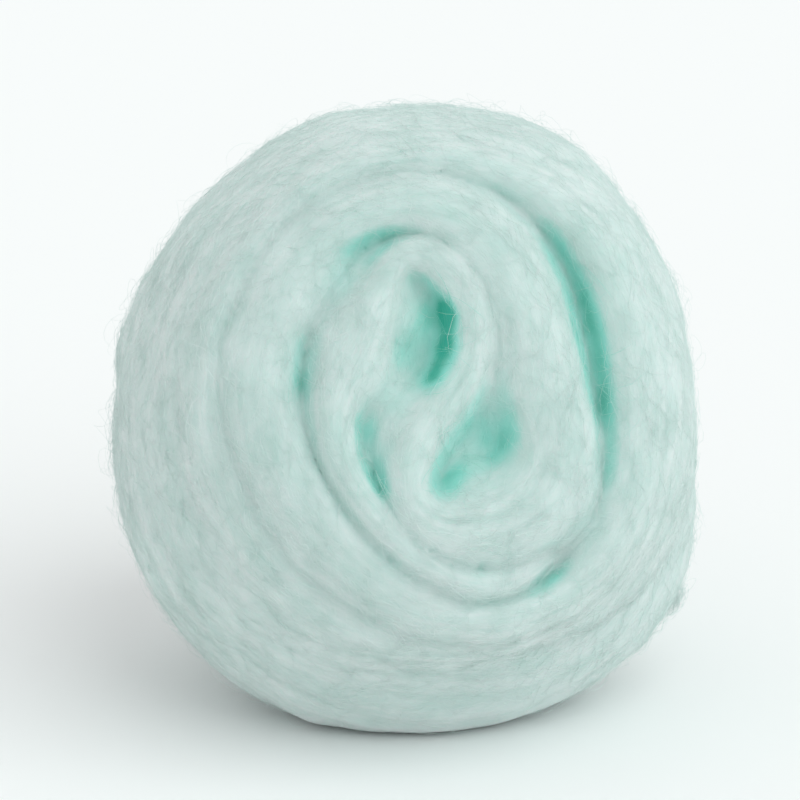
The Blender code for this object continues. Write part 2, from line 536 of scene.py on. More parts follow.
    @staticmethod
    def _skin(size: tuple[int, int, int]) -> tuple[dict, list]:
        """Numbers the corners on a block's skin and lists its quads, facing outwards.

        Args:
            size: How many corners the block has each way.

        Returns:
            Each skin corner's number by its place in the block, and the quads.
        """
        number: dict[tuple[int, int, int], int] = {}
        quads = []
        for axis in range(3):
            first, second = [a for a in range(3) if a != axis]
            for side in (0, size[axis] - 1):
                for m in range(size[first] - 1):
                    for n in range(size[second] - 1):
                        quad = []
                        for dm, dn in ((0, 0), (1, 0), (1, 1), (0, 1)):
                            key = [0, 0, 0]
                            key[axis], key[first], key[second] = side, m + dm, n + dn
                            quad.append(number.setdefault(tuple(key), len(number)))
                        if (side == 0) == (axis != 1):
                            quad.reverse()
                        quads.append(quad)
        return number, quads


# Mesh helpers
def store(mesh: bpy.types.Mesh, layer: Layer, values: np.ndarray) -> None:
    """Stores a number or a vector a corner.

    Args:
        mesh: The mesh that gets them.
        layer: What they are.
        values: One row a corner.
    """
    is_vector = values.ndim == 2
    kind = "FLOAT_VECTOR" if is_vector else "FLOAT"
    target = mesh.attributes.get(layer.value) or mesh.attributes.new(layer.value, kind, "POINT")
    target.data.foreach_set("vector" if is_vector else "value", values.astype(np.float32).ravel())


def rows(source: bpy.types.bpy_prop_collection, name: str, width: int) -> np.ndarray:
    """Reads one value of each item in a collection.

    Args:
        source: The collection.
        name: The value's name.
        width: How many numbers it has.

    Returns:
        One row an item.
    """
    values = np.empty(len(source) * width, np.float32)
    source.foreach_get(name, values)
    return values.reshape(-1, width).astype(float)


def read(mesh: bpy.types.Mesh, layer: Layer) -> np.ndarray:
    """Reads a number or a vector a corner.

    Args:
        mesh: The mesh that has them.
        layer: What they are.

    Returns:
        One row a corner.
    """
    source = mesh.attributes[layer.value]
    if source.data_type == "FLOAT_VECTOR":
        return rows(source.data, "vector", 3)
    return rows(source.data, "value", 1).ravel()


def places(mesh: bpy.types.Mesh) -> np.ndarray:
    """The places of the mesh's corners, one row each."""
    return rows(mesh.vertices, "co", 3)


def move_to(mesh: bpy.types.Mesh, corners: np.ndarray) -> None:
    """Puts the mesh's corners at these places."""
    mesh.vertices.foreach_set("co", corners.astype(np.float32).ravel())
    mesh.update()


def normals(mesh: bpy.types.Mesh) -> np.ndarray:
    """The normals at the mesh's corners, one row each."""
    return rows(mesh.vertex_normals, "vector", 3)


def triangles(mesh: bpy.types.Mesh) -> int:
    """How many triangles the mesh's faces make."""
    return sum(len(face.vertices) - 2 for face in mesh.polygons)


def softened(mesh: bpy.types.Mesh, values: np.ndarray, rounds: int) -> np.ndarray:
    """Values at the mesh's corners, evened out with those next to them.

    Args:
        mesh: The mesh whose corners they are.
        values: One row a corner.
        rounds: How often they are evened out.

    Returns:
        The softened values.
    """
    ends = np.empty(len(mesh.edges) * 2, np.int32)
    mesh.edges.foreach_get("vertices", ends)
    one, other = ends.reshape(-1, 2).T
    size = len(values)
    columns = values.reshape(size, -1).astype(float)
    count = np.bincount(ends, minlength=size)
    for _ in range(rounds):
        for column in range(columns.shape[1]):
            old = columns[:, column]
            total = np.bincount(one, old[other], size) + np.bincount(other, old[one], size)
            columns[:, column] = (old + total / count) / 2
    return columns.reshape(values.shape)


def noise_at(points: np.ndarray) -> np.ndarray:
    """Smooth noise between about -1 and 1.

    Args:
        points: One row a point, in units of the noise's grain.

    Returns:
        One number a point.
    """
    return np.array([noise.noise(point) for point in points.tolist()])


def linked(mesh: bpy.types.Mesh, name: str) -> bpy.types.Object:
    """Shows a mesh in the scene.

    Args:
        mesh: The mesh.
        name: The new object's name.

    Returns:
        The new object.
    """
    obj = bpy.data.objects.new(name, mesh)
    bpy.context.scene.collection.objects.link(obj)
    return obj


def baked(obj: bpy.types.Object, name: str) -> bpy.types.Object:
    """Turns an object with modifiers into a plain mesh object and removes the old one.

    Args:
        obj: The object with modifiers.
        name: The new object's name.

    Returns:
        The new object, at the origin.
    """
    graph = bpy.context.evaluated_depsgraph_get()
    mesh = bpy.data.meshes.new_from_object(obj.evaluated_get(graph))
    mesh.name = name
    old = obj.data
    bpy.data.objects.remove(obj, do_unlink=True)
    if old.users == 0:
        bpy.data.meshes.remove(old)
    return linked(mesh, name)


# Materials
def linear(colour: str) -> tuple[float, float, float, float]:
    """An sRGB hex colour as linear light.

    Args:
        colour: Six hex digits after a hash.

    Returns:
        Red, green, blue and alpha.
    """
    channels = [int(colour[i : i + 2], 16) / 255 for i in (1, 3, 5)]
    light = [c / 12.92 if c <= 0.04045 else ((c + 0.055) / 1.055) ** 2.4 for c in channels]
    return (*light, 1.0)


def add_node(tree: Tree, kind: str, inputs: dict | None = None, **settings: object) -> bpy.types.Node:
    """Adds a node with its settings, values and links.

    Args:
        tree: The tree that gets the node.
        kind: The node's type.
        inputs: A value or an output socket for each input, by its name or number.
        settings: The node's own settings.

    Returns:
        The new node.
    """
    node = tree.nodes.new(kind)
    for name, value in settings.items():
        setattr(node, name, value)
    for key, value in (inputs or {}).items():
        if isinstance(value, Socket):
            tree.links.new(value, node.inputs[key])
        else:
            node.inputs[key].default_value = value
    return node


def maths(tree: Tree, operation: str, *values: Socket | float) -> Socket:
    """The output socket of a new node that does this operation on the values."""
    return add_node(tree, "ShaderNodeMath", dict(enumerate(values)), operation=operation).outputs[0]


@dataclass(frozen=True)
class MintDyeAndPaintedShade:
    """The tones of mint-dyed cotton, pale where it is open, and painted shade: a fuller green in the
    creases.
    """

    light_tone: str = "#D4E1DF"
    deep_tone: str = "#C4D9D5"
    # Painted shade: the fuller and the darkest greens painted into the creases
    crease_shade_tone: str = "#94D9CE"
    deepest_shade_tone: str = "#36B29C"
    streak_length: float = 8.0 * MM
    streak_width: float = 0.8 * MM
    streak_detail: float = 3.0
    cloud_size: float = 2.6 * MM
    cloud_detail: float = 4.0
    tone_span: tuple[float, float] = (0.78, 1.22)
    # Where the painted crease shade starts and where it is full
    crease_shade_span: tuple[float, float] = (0.0, 0.6)
    deepest_shade_span: tuple[float, float] = (0.45, 1.0)

    def add_to(self, tree: Tree) -> Socket:
        """Adds the nodes that mix the mint tones and the painted crease shade.

        Args:
            tree: The material's tree.

        Returns:
            The output socket of the colour.
        """
        # The painted shade mask, from the wool's crease layer
        crease = layer_of(tree, Layer.CREASE).outputs["Fac"]
        streak = grain_noise(tree, self.streak_length, self.streak_width, self.streak_detail)
        place = add_node(tree, "ShaderNodeTexCoord").outputs["Object"]
        cloud = noise_node(tree, place, 1 / self.cloud_size, self.cloud_detail)
        both = maths(tree, "ADD", streak, cloud)
        tone = linear(self.deep_tone)
        for value, span, colour, ease in (
            (both, self.tone_span, self.light_tone, "LINEAR"),
            (crease, self.crease_shade_span, self.crease_shade_tone, "SMOOTHSTEP"),
            (crease, self.deepest_shade_span, self.deepest_shade_tone, "SMOOTHSTEP"),
        ):
            inputs = {"Value": value, "From Min": span[0], "From Max": span[1]}
            share = add_node(tree, "ShaderNodeMapRange", inputs, interpolation_type=ease).outputs["Result"]
            mixed = {0: share, 6: tone, 7: linear(colour)}
            tone = add_node(tree, "ShaderNodeMix", mixed, data_type="RGBA").outputs[2]
        return tone


def layer_of(tree: Tree, layer: Layer) -> bpy.types.Node:
    """A shader node that reads one of the wool's layers."""
    return add_node(tree, "ShaderNodeAttribute", attribute_name=layer.value)


def noise_node(tree: Tree, place: Socket, scale: float, detail: float) -> Socket:
    """Adds smooth noise.

    Args:
        tree: The material's tree.
        place: The output socket of where it is read.
        scale: How many of its grains there are in a unit of place.
        detail: How many finer layers it has.

    Returns:
        The output socket of the noise, between 0 and 1.
    """
    inputs = {"Vector": place, "Scale": scale, "Detail": detail, "Roughness": NOISE_ROUGHNESS}
    return add_node(tree, "ShaderNodeTexNoise", inputs).outputs["Fac"]


def grain_noise(tree: Tree, length: float, width: float, detail: float) -> Socket:
    """Noise drawn out along the strip, as carding lays the fibres.

    Args:
        tree: The material's tree.
        length: Size of the noise's grain along the strip.
        width: Its size across the strip and through it.
        detail: How many finer layers it has.

    Returns:
        The output socket of the noise, between 0 and 1.
    """
    place = layer_of(tree, Layer.STRIP_PLACE).outputs["Vector"]
    inputs = {0: place, 1: (1 / length, 1 / width, 1 / width)}
    stretched = add_node(tree, "ShaderNodeVectorMath", inputs, operation="MULTIPLY")
    return noise_node(tree, stretched.outputs[0], 1.0, detail)


def new_material(name: str, settings: dict[str, object]) -> tuple[bpy.types.Material, bpy.types.Node]:
    """Makes a material that isn't a metal.

    Args:
        name: The material's name.
        settings: Values for its shader's inputs, by their names.

    Returns:
        The material and its shader node.
    """
    material = bpy.data.materials.new(name)
    material.use_nodes = True
    shader = material.node_tree.nodes["Principled BSDF"]
    shader.inputs["Metallic"].default_value = 0.0
    for key, value in settings.items():
        shader.inputs[key].default_value = value
    return material, shader


@dataclass(frozen=True)
class CardedCotton:
    """Cotton wool as it comes off the card, dyed mint: matte, and light soaks a little way into it."""

    name: str = "carded cotton wool, dyed mint"
    # The mint tones and the painted shade in the creases
    dye_and_shade: MintDyeAndPaintedShade = MintDyeAndPaintedShade()
    roughness: float = 1.0
    refraction: float = 1.45
    gloss: float = 0.1
    # Red light is soaked up soonest in mint wool, so its shade goes green
    soak_depth: float = 1.7 * MM
    soak_radii: tuple[float, float, float] = (0.75, 1.0, 0.92)
    soak_share: float = 0.9
    relief: float = 0.10 * MM
    relief_strength: float = 0.5
    tuft_length: float = 2.0 * MM
    tuft_width: float = 0.5 * MM
    tuft_detail: float = 3.0
    # A fibre is under 0.02 mm wide, too fine to show in a bump, so the grain is drawn coarser, at 0.1 mm
    grain_length: float = 1.6 * MM
    grain_width: float = 0.10 * MM
    grain_detail: float = 2.0
    sheen: float = 0.2
    sheen_roughness: float = 0.6

    def build(self) -> bpy.types.Material:
        """Makes the material.

        Returns:
            The new material.
        """
        settings = {
            "Roughness": self.roughness,
            "IOR": self.refraction,
            "Specular IOR Level": self.gloss,
            "Subsurface Weight": self.soak_share,
            "Subsurface Radius": self.soak_radii,
            "Subsurface Scale": self.soak_depth,
            "Sheen Weight": self.sheen,
            "Sheen Roughness": self.sheen_roughness,
        }
        material, shader = new_material(self.name, settings)
        tree = material.node_tree
        tree.links.new(self.dye_and_shade.add_to(tree), shader.inputs["Base Color"])
        tufts = grain_noise(tree, self.tuft_length, self.tuft_width, self.tuft_detail)
        grain = grain_noise(tree, self.grain_length, self.grain_width, self.grain_detail)
        height = maths(tree, "ADD", tufts, grain)
        inputs = {"Height": height, "Distance": self.relief, "Strength": self.relief_strength}
        bump = add_node(tree, "ShaderNodeBump", inputs)
        tree.links.new(bump.outputs["Normal"], shader.inputs["Normal"])
        return material


@dataclass(frozen=True)
class SingleFibre:
    """Single dyed cotton fibres, seen as pale hairs in the tone of the wool below them, its painted crease
    shade included.
    """

    name: str = "cotton fibre, dyed mint"
    # The mint tones and the painted shade in the creases
    dye_and_shade: MintDyeAndPaintedShade = MintDyeAndPaintedShade(light_tone="#D8E4E2", deep_tone="#C9DAD6")
    roughness: float = 0.85
    refraction: float = 1.55
    gloss: float = 0.1
    sheen: float = 0.15

    def build(self) -> bpy.types.Material:
        """Makes the material.

        Returns:
            The new material.
        """
        settings = {
            "Roughness": self.roughness,
            "IOR": self.refraction,
            "Specular IOR Level": self.gloss,
            "Sheen Weight": self.sheen,
        }
        material, shader = new_material(self.name, settings)
        tree = material.node_tree
        tree.links.new(self.dye_and_shade.add_to(tree), shader.inputs["Base Color"])
        return material


# The wool
@dataclass(frozen=True)
class Relief:
    """Soft forms raised on the wool: each one's size, its height and where its noise starts."""

    lump_size: float = 6.5 * MM
    lump_height: float = 0.32 * MM
    lump_start: float = 3.1
    tuft_size: float = 2.4 * MM
    tuft_height: float = 0.16 * MM
    tuft_start: float = 17.7
    streak_length: float = 9.0 * MM
    streak_width: float = 1.0 * MM
    streak_height: float = 0.10 * MM
    streak_start: float = 5.3
    # The forms fade to this share of their height towards full depth of the creases
    least_share: float = 0.2
    fades_at: float = 2 / 3


@dataclass(frozen=True)
class SkinForm:
    """How the skin is drawn over the strip. Its grain is the least size of what shows in it."""

    rounding_levels: int = 2
    grain: float = 0.27 * MM
    softening_rounds: int = 16
    carry_rounds: int = 2


@dataclass(frozen=True)
class CreaseShade:
    """Painted shade, where the tone is deeper: in hollows that few rays leave, at marked creases and at the
    spots.
    """

    # Rays from each corner, and the part of the half sphere over it that they go to
    rays: int = 16
    ray_start: float = 0.05 * MM
    ray_length: float = 7 * MM
    ray_spread: float = 0.96
    # The share of rays that end in wool where the tone starts to deepen, and on to where it is full
    open_up_to: float = 0.12
    hidden_span: float = 0.62
    hidden_share: float = 0.82
    hidden_rounds: int = 4
    # The marks show in soft patches
    drawn_share: float = 0.36
    drawn_rounds: int = 2
    patch_size: float = 2.2 * MM
    patch_middle: float = 0.75
    patch_range: float = 0.5
    # The spots rise to full as rays end in wool, and this share of them is always there
    spot_rise: float = 2.5
    spot_least: float = 0.2


class WoolBody:
    """The rolled strip itself, under one soft skin."""

    def __init__(
        self, form: RollForm, skin: SkinForm, shade: CreaseShade, relief: Relief, finish: CardedCotton
    ) -> None:
        """Builds the wool.

        Args:
            form: The roll's sizes and curves.
            skin: How its skin is drawn.
            shade: Where painted shade deepens its tone.
            relief: The soft forms raised on it.
            finish: Its material.
        """
        self.form = form
        self.skin = skin
        self.shade = shade
        self.relief = relief
        rolled = RolledStrip(form)
        strip = self._smooth(rolled)
        self.obj = self._drawn_over(strip, rolled.filling("filling"))
        mesh = self.obj.data
        self._carry_over(strip.data, mesh)
        move_to(mesh, softened(mesh, places(mesh), skin.softening_rounds))
        # Painted shade in the creases, from how few rays leave each corner, the marks and the spots
        store(mesh, Layer.CREASE, self._crease_shade(mesh))
        self._raise_relief(mesh)
        self._settle(mesh, places(strip.data))
        bpy.data.objects.remove(strip, do_unlink=True)
        mesh.shade_smooth()
        mesh.materials.clear()
        mesh.materials.append(finish.build())

    def _smooth(self, strip: RolledStrip) -> bpy.types.Object:
        """Rounds the strip's cage by subdivision.

        Args:
            strip: The strip rolled up.

        Returns:
            The strip as a plain mesh.
        """
        cage = linked(strip.mesh("cage"), "cage")
        modifier = cage.modifiers.new("soft edges", "SUBSURF")
        modifier.levels = modifier.render_levels = self.skin.rounding_levels
        return baked(cage, "strip")

    def _drawn_over(self, strip: bpy.types.Object, filling: bpy.types.Mesh) -> bpy.types.Object:
        """Draws one closed skin over the strip and the filling, without the hollows that are sealed in it.

        Args:
            strip: The rounded strip.
            filling: The loose wool in the core's folds, which is used up.

        Returns:
            The skin.
        """
        both = bmesh.new()
        both.from_mesh(strip.data)
        both.from_mesh(filling)
        bpy.data.meshes.remove(filling)
        carrier = linked(bpy.data.meshes.new("skin"), "skin")
        both.to_mesh(carrier.data)
        both.free()
        modifier = carrier.modifiers.new("skin", "REMESH")
        modifier.mode = "VOXEL"
        modifier.voxel_size = self.skin.grain
        skin = baked(carrier, "wool")
        work = bmesh.new()
        work.from_mesh(skin.data)
        reached = {min(work.verts, key=lambda corner: corner.co.x)}
        front = list(reached)
        while front:
            corner = front.pop()
            for edge in corner.link_edges:
                other = edge.other_vert(corner)
                if other not in reached:
                    reached.add(other)
                    front.append(other)
        sealed = [corner for corner in work.verts if corner not in reached]
        bmesh.ops.delete(work, geom=sealed, context="VERTS")
        work.to_mesh(skin.data)
        work.free()
        return skin

    def _carry_over(self, strip: bpy.types.Mesh, skin: bpy.types.Mesh) -> None:
        """Gives each corner of the skin what the strip carries next to it.

        Args:
            strip: The mesh below the skin.
            skin: The mesh that gets the layers.
        """
        corners = [corner.co.copy() for corner in strip.vertices]
        faces = [tuple(face.vertices) for face in strip.polygons]
        tree = BVHTree.FromPolygons(corners, faces)
        near = np.empty((len(skin.vertices), 4), np.int32)
        shares = np.empty((len(skin.vertices), 4))
        for index, corner in enumerate(skin.vertices):
            place, _, face, _ = tree.find_nearest(corner.co)
            near[index] = faces[face]
            shares[index] = poly_3d_calc([corners[c] for c in faces[face]], place)
        for layer in (Layer.STRIP_PLACE, Layer.GRAIN, Layer.MARK):
            source = read(strip, layer)
            values = np.einsum("nk,nk...->n...", shares, source[near])
            store(skin, layer, softened(skin, values, self.skin.carry_rounds))

    def _crease_shade(self, mesh: bpy.types.Mesh) -> np.ndarray:
        """How deep in a crease each corner is, which sets the painted shade there.

        Args:
            mesh: The skin.

        Returns:
            One number a corner, from 0 on the outside to 1 where hardly any light comes.
        """
        shade = self.shade
        tree = BVHTree.FromPolygons([v.co for v in mesh.vertices], [p.vertices for p in mesh.polygons])
        golden = math.pi * (3 - math.sqrt(5))
        rays = []
        for n in range(shade.rays):
            height = math.sqrt(1 - (n + 0.5) / shade.rays * shade.ray_spread)
            side = math.sqrt(1 - height**2)
            rays.append(Vector((side * math.cos(golden * n), side * math.sin(golden * n), height)))
        hidden = np.empty(len(mesh.vertices))
        for index, corner in enumerate(mesh.vertices):
            turn = corner.normal.to_track_quat("Z", "Y")
            start = corner.co + corner.normal * shade.ray_start
            hits = sum(tree.ray_cast(start, turn @ ray, shade.ray_length)[0] is not None for ray in rays)
            hidden[index] = hits / shade.rays
        hidden = softened(mesh, hidden, shade.hidden_rounds)
        mark = np.clip(read(mesh, Layer.MARK), 0, 1)
        patches = shade.patch_middle + shade.patch_range * noise_at(places(mesh) / shade.patch_size)
        # Painted shade at the marked creases, in soft patches, and at the spots over hollows
        painted_shade = shade.drawn_share * softened(mesh, mark, shade.drawn_rounds) * patches
        painted_shade += self._painted_shade_spots(places(mesh)) * np.clip(hidden * shade.spot_rise, shade.spot_least, 1)
        shaded = np.clip((hidden - shade.open_up_to) / shade.hidden_span, 0, 1)
        return np.clip(shade.hidden_share * shaded + painted_shade, 0, 1)

    def _painted_shade_spots(self, corners: np.ndarray) -> np.ndarray:
        """How much painted shade deepens the tone where the wool of the front end lies over a hollow.

        Args:
            corners: The skin's corners before the roll is leaned back, one row each.

        Returns:
            One number a corner, 0 away from the spots.
        """
        depth = np.zeros(len(corners))
        across, along_axis, up = corners.T / self.form.pitch
        for a, b, size, amount in self.form.painted_shade_spots:
            apart = np.hypot(across - a, up - b) / size
            depth += amount * np.exp(-(apart**2))
        return np.where(along_axis < 0, depth, 0.0)

    def _raise_relief(self, mesh: bpy.types.Mesh) -> None:
        """Moves the corners in or out by lumps, tufts and streaks, less so in the creases.

        Args:
            mesh: The skin.
        """
        relief = self.relief
        corners = places(mesh)
        height = relief.lump_height * noise_at(corners / relief.lump_size + relief.lump_start)
        height += relief.tuft_height * noise_at(corners / relief.tuft_size + relief.tuft_start)
        widths = np.array([relief.streak_length, relief.streak_width, relief.streak_width])
        streaks = read(mesh, Layer.STRIP_PLACE) / widths + relief.streak_start
        height += relief.streak_height * noise_at(streaks)
        faded = np.clip(read(mesh, Layer.CREASE) / relief.fades_at, 0, 1)
        free = 1 - (1 - relief.least_share) * faded
        move_to(mesh, corners + normals(mesh) * (height * free)[:, None])

    def _settle(self, mesh: bpy.types.Mesh, strip: np.ndarray) -> None:
        """Leans the roll back and flattens its underside, as the CAD part's own is.

        Args:
            mesh: The mesh that is moved.
            strip: The corners of the strip below its skin.
        """
        form = self.form
        turn = np.array(Matrix.Rotation(math.radians(-form.lean_deg), 3, "X")).T
        strip = strip @ turn
        corners = places(mesh) @ turn
        middle = (strip[:, :2].min(0) + strip[:, :2].max(0)) / 2
        low, high = (np.array(corner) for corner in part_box(CAD_NODE))
        corners[:, :2] += (low[:2] + high[:2]) / 2 - middle
        heights = corners[:, 2] - strip[:, 2].min() - form.underside_press
        blend = form.press_blend
        corners[:, 2] = np.clip(heights, 0, blend) ** 2 / (2 * blend) + np.maximum(heights - blend, 0)
        move_to(mesh, corners)
        store(mesh, Layer.GRAIN, read(mesh, Layer.GRAIN) @ turn)


# The fibres
@dataclass(frozen=True)
class FibreShape:
    """One fibre: a thin, closed, three-sided hair along X that arches up along Z and curls along Y.

    Each is as thick as a real cotton fibre, 0.01 to 0.02 mm. There are far fewer than in real wool.
    """

    length: float
    arch: float
    curl: float
    radius: float
    waves: float = 0.5
    joints: int = 5

    def mesh(self, name: str) -> bpy.types.Mesh:
        """Builds the fibre, with a point at each end.

        Args:
            name: The mesh's name.

        Returns:
            The new mesh.
        """
        corners, faces = [self._middle(0.0)], []
        for joint in range(1, self.joints - 1):
            t = joint / (self.joints - 1)
            for angle in (math.radians(90), math.radians(210), math.radians(330)):
                corners.append(self._middle(t) + self.radius * Vector((0, math.cos(angle), math.sin(angle))))
        corners.append(self._middle(1.0))
        last = len(corners) - 1
        for side in range(3):
            other = (side + 1) % 3
            faces.append((0, 1 + other, 1 + side))
            for ring in range(1, last - 3, 3):
                faces.append((ring + side, ring + other, ring + 3 + other, ring + 3 + side))
            faces.append((last - 3 + side, last - 3 + other, last))
        mesh = bpy.data.meshes.new(name)
        mesh.from_pydata(corners, [], faces)
        return mesh

    def _middle(self, t: float) -> Vector:
        """A point on the fibre's middle line.

        Args:
            t: How far along the fibre it is, from 0 to 1.

        Returns:
            The point.
        """
        aside = self.curl * math.sin(2 * math.pi * self.waves * t)
        return Vector((self.length * (t - 0.5), aside, self.arch * math.sin(math.pi * t)))


@dataclass(frozen=True)
class Fleece:
    """A family of fibres: their shapes, how many there are per square metre and how they lie."""

    name: str
    shapes: tuple[FibreShape, ...]
    density: float
    least_lift_deg: float
    most_lift_deg: float
    spread_deg: float
    least_size: float = 0.6
    most_size: float = 1.4
    sink: float = 0.03 * MM
    seed: int = 1


class FibreCoat:
    """Fibres spread over the wool by a node tree, then turned into a plain mesh."""

    FLOOR_BLEND = 0.12 * MM
    SHAPE_SEED = 11
    # From one value of the crease or the height to another, and the shares of the fibres that are left there
    THINNED_BY_CREASE = (0.35, 0.95, 1.0, 0.15)
    THINNED_BY_HEIGHT = (0.6 * MM, 4.0 * MM, 0.05, 1.0)

    def __init__(self, fleece: Fleece, wool: bpy.types.Object, finish: bpy.types.Material) -> None:
        """Spreads the fibres.

        Args:
            fleece: The family of fibres.
            wool: The wool's object.
            finish: The fibres' material.
        """
        self.fleece = fleece
        source = self._source()
        tree = self._tree()
        carrier = linked(wool.data, fleece.name + "_carrier")
        modifier = carrier.modifiers.new("fibres", "NODES")
        modifier.node_group = tree
        values = {
            "Fibre": source,
            "Density": fleece.density,
            "Least lift": math.radians(fleece.least_lift_deg),
            "Most lift": math.radians(fleece.most_lift_deg),
            "Spread": math.radians(fleece.spread_deg),
            "Least size": fleece.least_size,
            "Most size": fleece.most_size,
            "Sink": fleece.sink,
            "Seed": fleece.seed,
            "Finish": finish,
        }
        for item in tree.interface.items_tree:
            if item.in_out == "INPUT" and item.name in values:
                modifier[item.identifier] = values[item.name]
        self.obj = baked(carrier, fleece.name)
        self._clear(source)
        self._keep_above_floor(self.obj.data)

    def _source(self) -> bpy.types.Collection:
        """Builds the fibre's shapes.

        Returns:
            A collection that holds them.
        """
        collection = bpy.data.collections.new(self.fleece.name + " shapes")
        for number, shape in enumerate(self.fleece.shapes):
            name = f"{self.fleece.name} shape {number}"
            collection.objects.link(bpy.data.objects.new(name, shape.mesh(name)))
        return collection

    @staticmethod
    def _clear(source: bpy.types.Collection) -> None:
        """Removes the fibre's shapes once they are spread.

        Args:
            source: The collection that holds them.
        """
        for obj in list(source.objects):
            mesh = obj.data
            bpy.data.objects.remove(obj, do_unlink=True)
            bpy.data.meshes.remove(mesh)
        bpy.data.collections.remove(source)

    def _keep_above_floor(self, mesh: bpy.types.Mesh) -> None:
        """Bends the fibres that would go below the floor, so that they lie just above it.

        Args:
            mesh: The fibres.
        """
        corners = places(mesh)
        corners[:, 2] = self.FLOOR_BLEND * np.logaddexp(0, corners[:, 2] / self.FLOOR_BLEND)
        move_to(mesh, corners)

    def _tree(self) -> Tree:
        """Builds the node tree that lays a fibre on each of many random places, along the grain.

        Returns:
            The new tree.
        """
        tree = bpy.data.node_groups.new(self.fleece.name, "GeometryNodeTree")
        numbers = ("Density", "Least lift", "Most lift", "Spread", "Least size", "Most size", "Sink")
        for name, kind in (
            ("Wool", "Geometry"),
            ("Fibre", "Collection"),
            *((number, "Float") for number in numbers),
            ("Seed", "Int"),
            ("Finish", "Material"),
        ):
            tree.interface.new_socket(name, in_out="INPUT", socket_type="NodeSocket" + kind)
        tree.interface.new_socket("Fibres", in_out="OUTPUT", socket_type="NodeSocketGeometry")
        given = add_node(tree, "NodeGroupInput").outputs
        spread = add_node(
            tree,
            "GeometryNodeDistributePointsOnFaces",
            {"Mesh": given["Wool"], "Density": self._density(tree, given), "Seed": given["Seed"]},
            distribute_method="RANDOM",
        )
        shapes = add_node(
            tree,
            "GeometryNodeCollectionInfo",
            {"Collection": given["Fibre"], "Separate Children": True, "Reset Children": True},
        )
        pick = add_node(
            tree,
            "FunctionNodeRandomValue",
            {4: 0, 5: len(self.fleece.shapes) - 1, "Seed": self.SHAPE_SEED},
            data_type="INT",
        )
        laid = add_node(
            tree,
            "GeometryNodeInstanceOnPoints",
            {
                "Points": self._sunk(tree, given, spread),
                "Instance": shapes.outputs["Instances"],
                "Pick Instance": True,
                "Instance Index": pick.outputs[2],
                "Rotation": self._rotation(tree, given, spread),
                "Scale": self._random(tree, given, Draw.SIZE, given["Least size"], given["Most size"]),
            },
        )
        real = add_node(tree, "GeometryNodeRealizeInstances", {"Geometry": laid.outputs["Instances"]})
        done = add_node(
            tree,
            "GeometryNodeSetMaterial",
            {"Geometry": real.outputs["Geometry"], "Material": given["Finish"]},
        )
        add_node(tree, "NodeGroupOutput", {"Fibres": done.outputs["Geometry"]})
        return tree

    def _density(self, tree: Tree, given: bpy.types.NodeOutputs) -> Socket:
        """Thins the fibres out in the creases and where the ball rests.

        Args:
            tree: The tree that gets the nodes.
            given: The tree's inputs.

        Returns:
            The output socket of the fibres per square metre.
        """
        place = add_node(tree, "GeometryNodeInputPosition").outputs[0]
        height = add_node(tree, "ShaderNodeSeparateXYZ", {0: place}).outputs["Z"]
        density = given["Density"]
        for value, span in (
            (self._layer(tree, Layer.CREASE, "FLOAT"), self.THINNED_BY_CREASE),
            (height, self.THINNED_BY_HEIGHT),
        ):
            inputs = {"Value": value, **dict(zip(("From Min", "From Max", "To Min", "To Max"), span))}
            share = add_node(tree, "ShaderNodeMapRange", inputs).outputs["Result"]
            density = maths(tree, "MULTIPLY", density, share)
        return density

    @staticmethod
    def _layer(tree: Tree, layer: Layer, kind: str) -> Socket:
        """The output of a node that reads one of the wool's layers."""
        node = add_node(tree, "GeometryNodeInputNamedAttribute", {"Name": layer.value}, data_type=kind)
        return node.outputs["Attribute"]

    @staticmethod
    def _random(
        tree: Tree, given: bpy.types.NodeOutputs, draw: Draw, low: Socket | float, high: Socket | float
    ) -> Socket:
        """Draws a random number for each point.

        Args:
            tree: The tree that gets the nodes.
            given: The tree's inputs.
            draw: What it is for, so that each draw differs.
            low: The least number.
            high: The most.

        Returns:
            The output socket of the number.
        """
        inputs = {2: low, 3: high, "Seed": maths(tree, "ADD", given["Seed"], float(draw.value))}
        return add_node(tree, "FunctionNodeRandomValue", inputs, data_type="FLOAT").outputs[1]

    @staticmethod
    def _sunk(tree: Tree, given: bpy.types.NodeOutputs, spread: bpy.types.Node) -> Socket:
        """Moves the points a little way into the wool, so that each fibre is rooted.

        Args:
            tree: The tree that gets the nodes.
            given: The tree's inputs.
            spread: The node that spreads the points.

        Returns:
            The output socket of the points.
        """
        inputs = {0: spread.outputs["Normal"], "Scale": maths(tree, "MULTIPLY", given["Sink"], -1.0)}
        offset = add_node(tree, "ShaderNodeVectorMath", inputs, operation="SCALE")
        inputs = {"Geometry": spread.outputs["Points"], "Offset": offset.outputs[0]}
        return add_node(tree, "GeometryNodeSetPosition", inputs).outputs["Geometry"]

